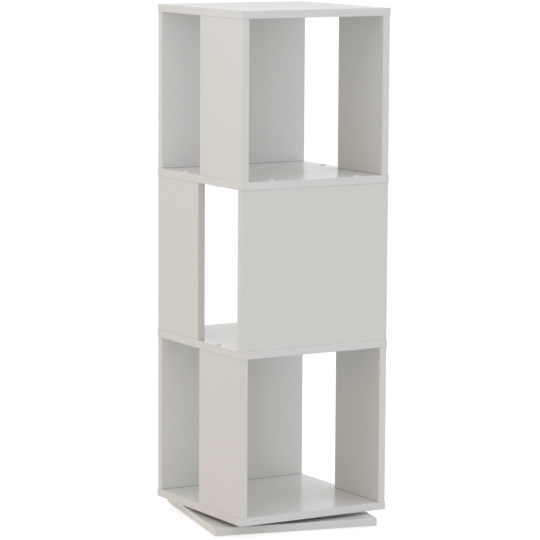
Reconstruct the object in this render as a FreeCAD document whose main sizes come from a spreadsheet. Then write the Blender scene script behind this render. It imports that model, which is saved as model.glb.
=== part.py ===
import FreeCAD, Part
import os
import re

import Sketcher

# Rotary filing cabinet: three storeys of white-faced chipboard, one on top of the other, on a
# ball-bearing swivel plate over a square base plate.  Every storey has one full-width panel and
# two half-width panels, and the middle storey is turned half round against its neighbours.
#
# Frame: millimetres, +Z up, origin on the floor on the swivel axis.  The open side of the lower
# and upper storeys faces -Y.  The base plate stands a little turned under the tower at rest.

SIZES = {
    # shelf boards and upright panels
    "board_side": 350,           # square plan of the four boards of the tower
    "board_thickness": 16,
    "bay_height": 326,           # clear height of one storey, for A4 lever-arch files
    "panel_thickness": 16,
    "panel_inset": 1,            # the boards stand proud of the panels by this much
    "half_panel_width": 171,
    "band_thickness": 1,         # plastic edge band on every visible edge
    "band_round": 0.6,           # rounding of a band's outer edges
    "band_joint": 0.05,          # hairline where two bands meet at a corner

    # base plate and what it stands on
    "base_side": 350,
    "base_thickness": 16,
    "base_turn": -12.7,          # degrees from the tower, about the swivel axis
    "access_hole_diameter": 20,  # lets a driver reach the upper bearing screws from below
    "glide_height": 3,
    "glide_diameter": 22,
    "glide_setback": 30,         # centre of a glide from the two nearest sides of the base
    "glide_edge": 0.8,           # chamfer round a glide's foot
    "nail_head_diameter": 5.5,
    "nail_head_height": 1,
    "nail_head_sink": 0.3,       # how far the head lies above the foot of its glide
    "nail_diameter": 2,
    "nail_length": 14,           # below the head
    "nail_point": 2.5,

    # swivel bearing: two pressed square plates with a ring of caged balls between them
    "bearing_side": 152,
    "bearing_height": 8,
    "bearing_sheet": 1.2,
    "bearing_corner": 12,
    "bearing_hole_setback": 12,  # screw holes from the sides of the plate
    "race_setback": 10,          # raised ring from the sides of the plate
    "race_rise": 1,
    "race_ramp": 2,
    "track_setback": 10,         # circle of the ball centres from the outside of the ring
    "track_ridge_width": 6,      # underside of the pressed ball track
    "ball_diameter": 4.76,
    "ball_clearance": 0.12,
    "ball_count": 24,
    "cage_wall": 1.2,            # plastic left beside a ball
    "cage_thickness": 1.6,
    "cage_clearance": 0.1,
    "lip_setback": 10.5,         # bore of the lower plate's lip from the circle of the balls
    "lip_width": 6,
    "collar_clearance": 1.5,     # upper plate's collar inside that bore
    "hem_width": 6.5,            # collar's foot, rolled out under the lip
    "hem_clearance": 0.4,        # hem to the lip above it and to the board below it

    # screws of the bearing plates
    "plate_screw_head_diameter": 8,
    "plate_screw_head_height": 2.2,
    "plate_screw_crown": 5.4,    # flat top of the pan head
    "plate_screw_diameter": 3.6,
    "plate_screw_length": 14,    # below the head
    "plate_screw_play": 0.2,     # round the shank in the steel plate
    "recess_width": 4.2,
    "recess_slot": 0.9,
    "recess_depth": 1.2,

    # connector screws through the boards into the ends of the panels, and their covers
    "full_screw_setback": 75,    # screws of a full panel, from the side of the board
    "half_screw_setback": 107,   # screw of a half panel, from the open side of the board
    "connector_length": 50,
    "connector_head_diameter": 10,
    "connector_head_height": 3,
    "connector_neck_diameter": 7,
    "connector_diameter": 6.2,
    "connector_point": 3,
    "connector_tip_diameter": 3,
    "socket_width": 4,
    "socket_depth": 2.6,
    "cap_diameter": 12,
    "cap_rise": 1.8,
    "cap_round": 0.5,
    "cap_peg_clearance": 0.1,    # peg in the screw's socket, all round
    "cap_peg_end_room": 0.3,
    "flat_cap_diameter": 13,     # the top board's covers are stuck on and lie nearly flush
    "flat_cap_thickness": 0.4,

    # dowels beside the screws
    "dowel_setback": 37,         # from the side of the board
    "dowel_diameter": 8,
    "dowel_length": 30,
    "dowel_in_board": 11,
    "dowel_chamfer": 0.8,

    # how loosely pins, screws and dowels sit in their holes
    "hole_clearance": 0.05,      # all round
    "hole_end_room": 1,          # left free at the bottom of a blind hole
}

doc = FreeCAD.newDocument("RotaryFilingCabinet")
sheet = doc.addObject("Spreadsheet::Sheet", "Sizes")
for row, (name, size) in enumerate(SIZES.items(), start=1):
    sheet.set(f"A{row}", name.replace("_", " "))
    sheet.set(f"B{row}", str(size))
    sheet.setAlias(f"B{row}", name)
doc.recompute()

# Places that several pieces share, as formulas of the sizes above.
PANEL_END = "(board_side / 2 - panel_inset)"
PANEL_ROW = f"({PANEL_END} - panel_thickness / 2)"
FULL_SCREW = "(board_side / 2 - full_screw_setback)"
HALF_SCREW = "(board_side / 2 - half_screw_setback)"
DOWEL = "(board_side / 2 - dowel_setback)"
BASE_TOP = "(glide_height + base_thickness)"
TOWER_FOOT = f"({BASE_TOP} + bearing_height)"
STOREY = "(board_thickness + bay_height)"
BALL_HEIGHT = "bearing_height / 2"
PLATE_HOLE = "(bearing_side / 2 - bearing_hole_setback)"
RACE_EDGE = "(bearing_side / 2 - race_setback)"
TRACK = f"({RACE_EDGE} - track_setback)"
RACE_TOP = "(bearing_sheet + race_rise)"
LIP_TOP = "(2 * hem_clearance + 2 * bearing_sheet)"
LIP_EDGE = f"({TRACK} - lip_setback)"
COLLAR = f"({LIP_EDGE} - collar_clearance)"

# The three storeys from the floor up: the name of each, and +1 where the full panel is at the
# back and the half panels at the front, or -1 where the storey is turned half round.
STOREYS = [("lower", 1), ("middle", -1), ("upper", 1)]

sub_parts = []    # what is written out, one file each
cuts = []         # every feature that has to take material away


def formula(text):
    """Point each size named in a formula at its cell in the sheet."""
    def cell(word):
        return f"Sizes.{word.group(0)}" if word.group(0) in SIZES else word.group(0)
    return re.sub(r"[a-z]\w*", cell, text)


def bind(item, prop, text):
    item.setExpression(prop, formula(text))


def place(item, x="0", y="0", z="0", rotation=None):
    """Put an item at bound coordinates, turned by a fixed rotation."""
    item.Placement = FreeCAD.Placement(FreeCAD.Vector(), rotation or FreeCAD.Rotation())
    for axis, text in (("x", x), ("y", y), ("z", z)):
        bind(item, f"Placement.Base.{axis}", text)


def turn_with_base(item):
    """Turn an item about the swivel axis as the base plate is turned."""
    bind(item, "Placement.Rotation.Angle", "base_turn")


def about_x(angle):
    return FreeCAD.Rotation(FreeCAD.Vector(1, 0, 0), angle)


def about_z(angle):
    return FreeCAD.Rotation(FreeCAD.Vector(0, 0, 1), angle)


def new_body(label):
    body = doc.addObject("PartDesign::Body", label)
    body.Label = label
    return body


def new_sub_part(label):
    """A body that is one piece of the cabinet."""
    body = new_body(label)
    sub_parts.append(body)
    return body


def origin_feature(body, role):
    return [item for item in body.Origin.OriginFeatures if item.Role == role][0]


def new_sketch(body, role="XY_Plane", lift="0"):
    """A sketch on one of the body's own origin planes, lifted along the plane's normal."""
    sketch = body.newObject("Sketcher::SketchObject", f"{body.Name}_sketch")
    sketch.AttachmentSupport = [(origin_feature(body, role), "")]
    sketch.MapMode = "FlatFace"
    bind(sketch, "AttachmentOffset.Base.z", lift)
    return sketch


def fix(sketch, kind, first, second, text):
    """Add one dimension from the first point (or curve) and bind it to a formula."""
    index = sketch.addConstraint(Sketcher.Constraint(kind, *first, *second, 1.0))
    name = f"size{index}"
    sketch.renameConstraint(index, name)
    bind(sketch, f"Constraints.{name}", text)


def fix_point(sketch, curve, end, x, y):
    fix(sketch, "DistanceX", (-1, 1), (curve, end), x)
    fix(sketch, "DistanceY", (-1, 1), (curve, end), y)


def polygon(sketch, corners):
    """A closed outline of straight lines through corners given as pairs of formulas."""
    count = len(corners)
    start = [FreeCAD.Vector(step, step * step, 0) for step in range(count)]
    lines = [sketch.addGeometry(Part.LineSegment(start[step], start[(step + 1) % count]))
             for step in range(count)]
    for step, (x, y) in enumerate(corners):
        before = lines[step - 1]
        sketch.addConstraint(Sketcher.Constraint("Coincident", before, 2, lines[step], 1))
        fix_point(sketch, lines[step], 1, x, y)


def rectangle(sketch, left, right, low, high):
    polygon(sketch, [(left, low), (right, low), (right, high), (left, high)])


def circle(sketch, x, y, diameter):
    curve = sketch.addGeometry(Part.Circle(FreeCAD.Vector(), FreeCAD.Vector(0, 0, 1), 1))
    fix_point(sketch, curve, 3, x, y)
    fix(sketch, "Diameter", (curve,), (), diameter)


def pad(body, sketch, length):
    feature = body.newObject("PartDesign::Pad", "pad")
    feature.Profile = sketch
    bind(feature, "Length", length)
    sketch.Visibility = False
    return feature


def revolve(body, corners):
    """Turn an outline in the XZ plane, as (radius, height) formulas, about the Z axis."""
    sketch = new_sketch(body, "XZ_Plane")
    polygon(sketch, corners)
    feature = body.newObject("PartDesign::Revolution", "turned")
    feature.Profile = sketch
    feature.ReferenceAxis = (sketch, ["V_Axis"])
    feature.Angle = 360
    sketch.Visibility = False
    return feature


def pocket(body, sketch, depth=None, upward=False):
    """Cut a sketch's outline down into the body, or upward from below, or right through."""
    feature = body.newObject("PartDesign::Pocket", "pocket")
    feature.Profile = sketch
    feature.Reversed = upward
    if depth is None:
        feature.Type = "ThroughAll"
    else:
        bind(feature, "Length", depth)
    sketch.Visibility = False
    cuts.append(feature)
    return feature


def drill(body, places, diameter, depth=None, face="0"):
    """Drill like holes at a list of places, up from the bottom or down from a higher face."""
    sketch = new_sketch(body, lift=face)
    for x, y in places:
        circle(sketch, x, y, diameter)
    return pocket(body, sketch, depth, upward=face == "0")


def fillet(body, feature, radius, wanted):
    """Round those edges of a feature that a test picks."""
    doc.recompute()
    names = [f"Edge{index}" for index, edge in enumerate(feature.Shape.Edges, start=1)
             if wanted(edge)]
    rounding = body.newObject("PartDesign::Fillet", "rounding")
    rounding.Base = (feature, names)
    bind(rounding, "Radius", radius)
    return rounding


def copy_of(master, x, y, z, rotation=None):
    """One more piece like a master, at a place of its own."""
    link = doc.addObject("App::Link", f"{master.Name}_copy")
    link.LinkedObject = master
    place(link, x, y, z, rotation)
    return link


def group(label, copies, x="0", y="0", z="0", rotation=None, turned=False):
    """Like pieces that share a name: separate solids in one sub-part."""
    compound = doc.addObject("Part::Compound", label)
    compound.Label = label
    compound.Links = copies
    place(compound, x, y, z, rotation)
    if turned:
        turn_with_base(compound)
    sub_parts.append(compound)


def mirrored_pairs(x, y):
    """The same place on both sides of the YZ plane."""
    return [(f"-{x}", y), (x, y)]


def four_corners(distance):
    return [(f"{a}({distance})", f"{b}({distance})") for a in ("", "-") for b in ("", "-")]


# ---------------------------------------------------------------------------------------------
# Edge bands: thin plastic strips, glued to the core.  A strip's inner face lies in its own YZ
# plane, its thickness runs to +X, its width is centred on Y and its length goes up +Z.

def band_strip(label, length, width, free_ends):
    """A strip whose long outer edges are rounded, and its ends too where nothing covers them."""
    body = new_body(label)
    sketch = new_sketch(body)
    rectangle(sketch, "0", "band_thickness", f"-{width} / 2", f"{width} / 2")
    strip = pad(body, sketch, length)

    def outer(edge):
        on_core = edge.BoundBox.XMax < SIZES["band_thickness"] / 2
        crosswise = edge.BoundBox.ZLength < SIZES["band_thickness"] / 2
        return not on_core and (free_ends or not crosswise)

    fillet(body, strip, "band_round", outer)
    return body


def between_bands(side):
    """Length of a strip that runs from one long strip to the other."""
    return f"({side} - 2 * band_thickness - 2 * band_joint)"


def board_edging(label, z, side, thickness, long_strip, short_strip, turned=False):
    """Four strips round a square board: the front and back ones cover the side ones' ends."""
    core_edge = f"({side} / 2 - band_thickness)"
    lengths = {long_strip: side, short_strip: between_bands(side)}
    copies = []
    quarter_turns = [(1, 0, short_strip), (0, 1, long_strip), (-1, 0, short_strip),
                     (0, -1, long_strip)]
    for quarter, (cosine, sine, strip) in enumerate(quarter_turns):
        half_length = f"{lengths[strip]} / 2"
        x = f"{cosine} * {core_edge} + {sine} * {half_length}"
        y = f"{sine} * {core_edge} - {cosine} * {half_length}"
        lying = about_z(90 * quarter).multiply(about_x(-90))
        copies.append(copy_of(strip, x, y, f"{thickness} / 2", lying))
    group(label, copies, z=z, turned=turned)


board_long_band = band_strip("board_long_band", "board_side", "board_thickness", True)
board_short_band = band_strip("board_short_band", between_bands("board_side"),
                              "board_thickness", False)
base_long_band = band_strip("base_long_band", "base_side", "base_thickness", True)
base_short_band = band_strip("base_short_band", between_bands("base_side"),
                             "base_thickness", False)
panel_band = band_strip("panel_band", "bay_height", "panel_thickness", False)


# ---------------------------------------------------------------------------------------------
# Fasteners that come many times over.  Each is drawn once, at its own origin.

# Connector screw: flat head flush with the board, a neck through the board, and a plain shank
# in place of its thread.
connector = new_body("connector_screw")
revolve(connector, [
    ("0", "0"),
    ("connector_head_diameter / 2", "0"),
    ("connector_head_diameter / 2", "-connector_head_height"),
    ("connector_neck_diameter / 2", "-connector_head_height"),
    ("connector_neck_diameter / 2", "-board_thickness"),
    ("connector_diameter / 2", "-board_thickness"),
    ("connector_diameter / 2", "-(connector_length - connector_point)"),
    ("connector_tip_diameter / 2", "-connector_length"),
    ("0", "-connector_length"),
])
socket_sketch = new_sketch(connector)
SOCKET_CORNER = "socket_width / sqrt(3)"
polygon(socket_sketch, [
    (SOCKET_CORNER, "0"), (f"{SOCKET_CORNER} / 2", "socket_width / 2"),
    (f"-{SOCKET_CORNER} / 2", "socket_width / 2"), (f"-{SOCKET_CORNER}", "0"),
    (f"-{SOCKET_CORNER} / 2", "-socket_width / 2"), (f"{SOCKET_CORNER} / 2", "-socket_width / 2"),
])
pocket(connector, socket_sketch, "socket_depth")

# Screw cover: a low plastic button with a peg that is pushed into the screw's socket.
cap = new_body("screw_cap")
button_sketch = new_sketch(cap)
circle(button_sketch, "0", "0", "cap_diameter")
button = pad(cap, button_sketch, "cap_rise")
fillet(cap, button, "min(cap_round; 0.9 * cap_rise)",
       lambda edge: edge.BoundBox.ZMin > SIZES["cap_rise"] / 2)
peg_sketch = new_sketch(cap)
circle(peg_sketch, "0", "0", "socket_width - 2 * cap_peg_clearance")
pad(cap, peg_sketch, "socket_depth - cap_peg_end_room").Reversed = True

# Flat screw cover: a self-adhesive plastic disc, for the board that is looked down on.
flat_cap = new_body("flat_screw_cap")
disc_sketch = new_sketch(flat_cap)
circle(disc_sketch, "0", "0", "flat_cap_diameter")
pad(flat_cap, disc_sketch, "flat_cap_thickness")

# Dowel: z = 0 is where board and panel meet, and the short end goes up into the board.
dowel = new_body("dowel")
DOWEL_TIP = "(dowel_diameter / 2 - dowel_chamfer)"
DOWEL_FOOT = "(dowel_in_board - dowel_length)"
revolve(dowel, [
    ("0", "dowel_in_board"), (DOWEL_TIP, "dowel_in_board"),
    ("dowel_diameter / 2", "dowel_in_board - dowel_chamfer"),
    ("dowel_diameter / 2", f"{DOWEL_FOOT} + dowel_chamfer"),
    (DOWEL_TIP, DOWEL_FOOT), ("0", DOWEL_FOOT),
])

# Screw of the bearing plates: pan head above its seat at z = 0, with a cross recess.
plate_screw = new_body("plate_screw")
revolve(plate_screw, [
    ("0", "plate_screw_head_height"),
    ("plate_screw_crown / 2", "plate_screw_head_height"),
    ("plate_screw_head_diameter / 2", "plate_screw_head_height / 2"),
    ("plate_screw_head_diameter / 2", "0"),
    ("plate_screw_diameter / 2", "0"),
    ("plate_screw_diameter / 2", "-(plate_screw_length - plate_screw_diameter)"),
    ("0", "-plate_screw_length"),
])
recess_sketch = new_sketch(plate_screw, lift="plate_screw_head_height")
ARM, SLOT = "recess_width / 2", "recess_slot / 2"
polygon(recess_sketch, [
    (ARM, f"-{SLOT}"), (ARM, SLOT), (SLOT, SLOT), (SLOT, ARM), (f"-{SLOT}", ARM),
    (f"-{SLOT}", SLOT), (f"-{ARM}", SLOT), (f"-{ARM}", f"-{SLOT}"), (f"-{SLOT}", f"-{SLOT}"),
    (f"-{SLOT}", f"-{ARM}"), (SLOT, f"-{ARM}"), (SLOT, f"-{SLOT}"),
])
pocket(plate_screw, recess_sketch, "recess_depth")


# ---------------------------------------------------------------------------------------------
# Base plate on four nailed glides.

GLIDES = four_corners("base_side / 2 - glide_setback")
BEARING_HOLES = four_corners(PLATE_HOLE)
PLATE_PILOT = "plate_screw_diameter + 2 * hole_clearance"
PLATE_PILOT_DEPTH = "plate_screw_length - bearing_sheet + hole_end_room"
NAIL_HOLE = "nail_diameter + 2 * hole_clearance"
NAIL_SEAT = "(nail_head_height + nail_head_sink)"

base_plate = new_sub_part("base_plate")
core_sketch = new_sketch(base_plate)
rectangle(core_sketch, "-base_side / 2 + band_thickness", "base_side / 2 - band_thickness",
          "-base_side / 2 + band_thickness", "base_side / 2 - band_thickness")
pad(base_plate, core_sketch, "base_thickness")
drill(base_plate, BEARING_HOLES, PLATE_PILOT, PLATE_PILOT_DEPTH, face="base_thickness")
drill(base_plate, GLIDES, NAIL_HOLE, f"nail_length + {NAIL_SEAT} - glide_height + hole_end_room")
drill(base_plate, [(f"sqrt(2) * {PLATE_HOLE}", "0")], "access_hole_diameter")
place(base_plate, z="glide_height")
turn_with_base(base_plate)
board_edging("base_plate_edging", "glide_height", "base_side", "base_thickness",
             base_long_band, base_short_band, turned=True)

# Glide: a plastic disc with a recess below for the head of its nail.
glide = new_body("glide")
RECESS = "(nail_head_diameter / 2 + hole_clearance)"
NAIL_BORE = "(nail_diameter / 2 + hole_clearance)"
revolve(glide, [
    (NAIL_BORE, "glide_height"), ("glide_diameter / 2", "glide_height"),
    ("glide_diameter / 2", "glide_edge"), ("glide_diameter / 2 - glide_edge", "0"),
    (RECESS, "0"), (RECESS, NAIL_SEAT), (NAIL_BORE, NAIL_SEAT),
])
group("base_glides", [copy_of(glide, x, y, "0") for x, y in GLIDES], turned=True)

# Nail: z = 0 is the seat of its head in the glide, and the point goes up into the base plate.
nail = new_body("nail")
revolve(nail, [
    ("0", "-nail_head_height"), ("nail_head_diameter / 2", "-nail_head_height"),
    ("nail_head_diameter / 2", "0"), ("nail_diameter / 2", "0"),
    ("nail_diameter / 2", "nail_length - nail_point"), ("0", "nail_length"),
])
group("glide_nails", [copy_of(nail, x, y, NAIL_SEAT) for x, y in GLIDES], turned=True)


# ---------------------------------------------------------------------------------------------
# Swivel bearing.  Both plates are drawn from z = 0, the top of the base plate.

def bearing_plate(label, ring, flange_foot):
    """A square flange with rounded corners and four holes, round a pressed ring."""
    body = new_sub_part(label)
    sketch = new_sketch(body, lift=flange_foot)
    edge = "bearing_side / 2"
    rectangle(sketch, f"-{edge}", edge, f"-{edge}", edge)
    circle(sketch, "0", "0", f"2 * {RACE_EDGE}")
    for x, y in BEARING_HOLES:
        circle(sketch, x, y, "plate_screw_diameter + 2 * plate_screw_play")
    flange = pad(body, sketch, "bearing_sheet")

    def corner(line):
        """The four upright edges farthest out."""
        out = SIZES["bearing_side"] / 2 - SIZES["bearing_sheet"]
        middle = line.CenterOfMass
        return abs(middle.x) > out and abs(middle.y) > out

    fillet(body, flange, "bearing_corner", corner)
    revolve(body, ring)
    track = body.newObject("PartDesign::SubtractiveTorus", "ball_track")
    track.AttachmentSupport = [(origin_feature(body, "XY_Plane"), "")]
    track.MapMode = "FlatFace"
    bind(track, "AttachmentOffset.Base.z", BALL_HEIGHT)
    bind(track, "Radius1", TRACK)
    bind(track, "Radius2", "ball_diameter / 2 + ball_clearance")
    cuts.append(track)
    place(body, z=BASE_TOP)
    return body


RIDGE_IN = f"{TRACK} - track_ridge_width / 2"
RIDGE_OUT = f"{TRACK} + track_ridge_width / 2"
LIP_FOOT = f"({LIP_EDGE} + lip_width)"
LIP_SHOULDER = f"({LIP_FOOT} - ({LIP_TOP} - {RACE_TOP}))"

# Lower plate: the pressed ring stands up from the flange, and its inner lip stands higher still.
lower_ring = [
    (RACE_EDGE, "0"), (RACE_EDGE, "bearing_sheet"),
    (f"{RACE_EDGE} - race_ramp", RACE_TOP), (LIP_FOOT, RACE_TOP),
    (LIP_SHOULDER, LIP_TOP), (LIP_EDGE, LIP_TOP), (LIP_EDGE, f"{LIP_TOP} - bearing_sheet"),
    (f"{LIP_SHOULDER} - bearing_sheet / 2", f"{LIP_TOP} - bearing_sheet"),
    (f"{LIP_FOOT} - bearing_sheet / 2", "race_rise"), (RIDGE_IN, "race_rise"),
    (RIDGE_IN, "0"), (RIDGE_OUT, "0"), (RIDGE_OUT, "race_rise"),
    (f"{RACE_EDGE} - race_ramp", "race_rise"),
]
lower_bearing_plate = bearing_plate("lower_bearing_plate", lower_ring, "0")
turn_with_base(lower_bearing_plate)

# Upper plate: the same ring hanging down, then a collar through the lower plate's bore, and a
# hem rolled out under the lip, which keeps the two plates together.
upper_ring = [
    (RACE_EDGE, "bearing_height"), (RACE_EDGE, "bearing_height - bearing_sheet"),
    (f"{RACE_EDGE} - race_ramp", f"bearing_height - {RACE_TOP}"),
    (COLLAR, f"bearing_height - {RACE_TOP}"), (COLLAR, "hem_clearance + bearing_sheet"),
    (f"{COLLAR} - bearing_sheet + hem_width", "hem_clearance + bearing_sheet"),
    (f"{COLLAR} - bearing_sheet + hem_width", "hem_clearance"),
    (f"{COLLAR} - bearing_sheet", "hem_clearance"),
    (f"{COLLAR} - bearing_sheet", "bearing_height - race_rise"),
    (RIDGE_IN, "bearing_height - race_rise"), (RIDGE_IN, "bearing_height"),
    (RIDGE_OUT, "bearing_height"), (RIDGE_OUT, "bearing_height - race_rise"),
    (f"{RACE_EDGE} - race_ramp", "bearing_height - race_rise"),
]
bearing_plate("upper_bearing_plate", upper_ring, "bearing_height - bearing_sheet")

lower_screws = [copy_of(plate_screw, x, y, "bearing_sheet") for x, y in BEARING_HOLES]
group("lower_bearing_screws", lower_screws, z=BASE_TOP, turned=True)
upper_screws = [copy_of(plate_screw, x, y, "bearing_height - bearing_sheet", about_x(180))
                for x, y in BEARING_HOLES]
group("upper_bearing_screws", upper_screws, z=BASE_TOP)

# Ball ring: balls in a plastic cage, which runs round at half the speed of the tower.
balls = new_sub_part("bearing_balls")
ball = balls.newObject("PartDesign::AdditiveSphere", "ball")
ball.AttachmentSupport = [(origin_feature(balls, "XY_Plane"), "")]
ball.MapMode = "FlatFace"
bind(ball, "AttachmentOffset.Base.x", TRACK)
bind(ball, "AttachmentOffset.Base.z", BALL_HEIGHT)
bind(ball, "Radius", "ball_diameter / 2")


def all_round(body, feature):
    """Repeat a feature at every ball of the ring."""
    pattern = body.newObject("PartDesign::PolarPattern", "all_round")
    pattern.Originals = [feature]
    pattern.Axis = (origin_feature(body, "Z_Axis"), [""])
    pattern.Angle = 360
    bind(pattern, "Occurrences", "ball_count")
    body.Tip = pattern


all_round(balls, ball)
place(balls, z=BASE_TOP)

cage = new_sub_part("ball_cage")
WINDOW = "(ball_diameter + 2 * cage_clearance)"
cage_sketch = new_sketch(cage, lift=f"{BALL_HEIGHT} - cage_thickness / 2")
circle(cage_sketch, "0", "0", f"2 * {TRACK} + {WINDOW} + 2 * cage_wall")
circle(cage_sketch, "0", "0", f"2 * {TRACK} - {WINDOW} - 2 * cage_wall")
pad(cage, cage_sketch, "cage_thickness")
window = drill(cage, [(TRACK, "0")], WINDOW)
all_round(cage, window)
place(cage, z=BASE_TOP)


# ---------------------------------------------------------------------------------------------
# Tower: four boards, and between each two of them a storey of one full and two half panels.

CONNECTOR_PILOT = "connector_diameter + 2 * hole_clearance"
CONNECTOR_NECK = "connector_neck_diameter + 2 * hole_clearance"
CONNECTOR_HEAD = "connector_head_diameter + 2 * hole_clearance"
CONNECTOR_GRIP = "connector_length - board_thickness + hole_end_room"
DOWEL_HOLE = "dowel_diameter + 2 * hole_clearance"
DOWEL_BOARD_DEPTH = "dowel_in_board + hole_end_room"
DOWEL_PANEL_DEPTH = "dowel_length - dowel_in_board + hole_end_room"


def screw_places(turn):
    """Where the connector screws of a storey go through a board: two and one and one."""
    return mirrored_pairs(FULL_SCREW, f"{turn} * {PANEL_ROW}") + \
        mirrored_pairs(PANEL_ROW, f"-{turn} * {HALF_SCREW}")


def dowel_places(turn):
    return mirrored_pairs(DOWEL, f"{turn} * {PANEL_ROW}") + \
        mirrored_pairs(PANEL_ROW, f"-{turn} * {DOWEL}")


def board(label, level, below=None, above=None, cover=cap):
    """A board with its bands and with the screws and dowels into the storeys beside it.

    below and above are the turns of the storeys that it closes.  The screws into the storey
    below are driven from the top, and those into the storey above from underneath.  cover is
    the master of the covers over all their heads, or None where the heads stay bare.
    """
    z = f"{TOWER_FOOT} + {level} * {STOREY}"
    body = new_sub_part(label)
    sketch = new_sketch(body)
    edge = "(board_side / 2 - band_thickness)"
    rectangle(sketch, f"-{edge}", edge, f"-{edge}", edge)
    pad(body, sketch, "board_thickness")
    bottom, top = "0", "board_thickness"
    screws, caps, dowels = [], [], []
    for storey_turn, head_face, panel_face, way_up in (
            (below, top, bottom, None), (above, bottom, top, about_x(180))):
        if storey_turn is None:
            continue
        at_screws, at_dowels = screw_places(storey_turn), dowel_places(storey_turn)
        drill(body, at_screws, CONNECTOR_NECK)
        drill(body, at_screws, CONNECTOR_HEAD, "connector_head_height", face=head_face)
        drill(body, at_dowels, DOWEL_HOLE, DOWEL_BOARD_DEPTH, face=panel_face)
        screws += [copy_of(connector, x, y, head_face, way_up) for x, y in at_screws]
        if cover is not None:
            caps += [copy_of(cover, x, y, head_face, way_up) for x, y in at_screws]
        dowels += [copy_of(dowel, x, y, panel_face, way_up) for x, y in at_dowels]
    place(body, z=z)
    board_edging(f"{label}_edging", z, "board_side", "board_thickness",
                 board_long_band, board_short_band)
    group(f"{label}_screws", screws, z=z)
    group(f"{label}_dowels", dowels, z=z)
    if caps:
        group(f"{label}_screw_caps", caps, z=z)
    return body


def panel(label, level, left, right, screws, dowels, x, y, angle):
    """An upright panel with a band on each end.

    It is drawn along X, from left to right, with its thickness centred on Y, and drilled in
    both its top and its bottom edge.
    """
    z = f"{TOWER_FOOT} + board_thickness + {level} * {STOREY}"
    body = new_sub_part(label)
    sketch = new_sketch(body)
    rectangle(sketch, f"{left} + band_thickness", f"{right} - band_thickness",
              "-panel_thickness / 2", "panel_thickness / 2")
    pad(body, sketch, "bay_height")
    for face in ("0", "bay_height"):
        drill(body, [(at, "0") for at in screws], CONNECTOR_PILOT, CONNECTOR_GRIP, face)
        drill(body, [(at, "0") for at in dowels], DOWEL_HOLE, DOWEL_PANEL_DEPTH, face)
    place(body, x, y, z, about_z(angle))
    bands = [copy_of(panel_band, f"{left} + band_thickness", "0", "0", about_z(180)),
             copy_of(panel_band, f"{right} - band_thickness", "0", "0")]
    group(f"{label}_edging", bands, x, y, z, about_z(angle))


bottom_board = board("bottom_board", 0, above=STOREYS[0][1], cover=None)
drill(bottom_board, BEARING_HOLES, PLATE_PILOT, PLATE_PILOT_DEPTH)
board("lower_shelf", 1, below=STOREYS[0][1], above=STOREYS[1][1])
board("upper_shelf", 2, below=STOREYS[1][1], above=STOREYS[2][1])
board("top_board", 3, below=STOREYS[2][1], cover=flat_cap)

for level, (storey, turn) in enumerate(STOREYS):
    full_side = "back" if turn > 0 else "front"
    panel(f"{storey}_{full_side}_panel", level, f"-{PANEL_END}", PANEL_END,
          [f"-{FULL_SCREW}", FULL_SCREW], [f"-{DOWEL}", DOWEL],
          "0", f"{turn} * {PANEL_ROW}", 0)
    for side, sign in (("left", "-"), ("right", "")):
        panel(f"{storey}_{side}_panel", level, "0", "half_panel_width",
              ["(half_screw_setback - panel_inset)"], ["(dowel_setback - panel_inset)"],
              f"{sign}{PANEL_ROW}", f"-{turn} * {PANEL_END}", 90 * turn)


# ---------------------------------------------------------------------------------------------
# Recompute, check every object, and write one file for each sub-part.

doc.recompute()
for item in doc.Objects:
    if "Invalid" in item.State or "Error" in item.State:
        raise RuntimeError(f"{item.Label} failed: {item.State}")
for feature in cuts:
    if feature.Shape.Volume >= feature.BaseFeature.Shape.Volume:
        raise RuntimeError(f"{feature.Label} cuts nothing away")
for item in sub_parts:
    if item.Shape.isNull() or not item.Shape.isValid():
        raise RuntimeError(f"{item.Label} has no valid shape")

os.makedirs("parts", exist_ok=True)
for item in sub_parts:
    item.Shape.exportStep(f"parts/{item.Label}.step")
    print(f"{item.Label}: {len(item.Shape.Solids)} solids, {item.Shape.Volume:.0f} mm3")
print(f"{len(sub_parts)} sub-parts")
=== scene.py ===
import math
from functools import partial

import bmesh
import bpy
from mathutils import Matrix, Vector


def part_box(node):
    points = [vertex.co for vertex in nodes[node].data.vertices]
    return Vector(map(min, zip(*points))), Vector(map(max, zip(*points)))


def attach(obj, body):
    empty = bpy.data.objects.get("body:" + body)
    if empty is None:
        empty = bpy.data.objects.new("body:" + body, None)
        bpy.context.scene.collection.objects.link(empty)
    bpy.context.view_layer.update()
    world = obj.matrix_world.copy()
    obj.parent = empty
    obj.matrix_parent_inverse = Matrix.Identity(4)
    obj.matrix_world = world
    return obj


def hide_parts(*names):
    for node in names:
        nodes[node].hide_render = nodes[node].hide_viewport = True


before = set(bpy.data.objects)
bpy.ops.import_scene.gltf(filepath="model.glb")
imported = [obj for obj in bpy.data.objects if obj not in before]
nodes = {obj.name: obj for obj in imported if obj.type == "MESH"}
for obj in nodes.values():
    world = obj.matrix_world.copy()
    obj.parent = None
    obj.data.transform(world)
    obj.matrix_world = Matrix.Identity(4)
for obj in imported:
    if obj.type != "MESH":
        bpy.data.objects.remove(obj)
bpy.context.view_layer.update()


# ---------------------------------------------------------------------------------------------
# Base plate.  Three-layer chipboard with a white melamine sheet pressed on both faces: a fine
# pearl grain on the faces, and raw chips wherever a saw or a drill has gone through.

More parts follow.
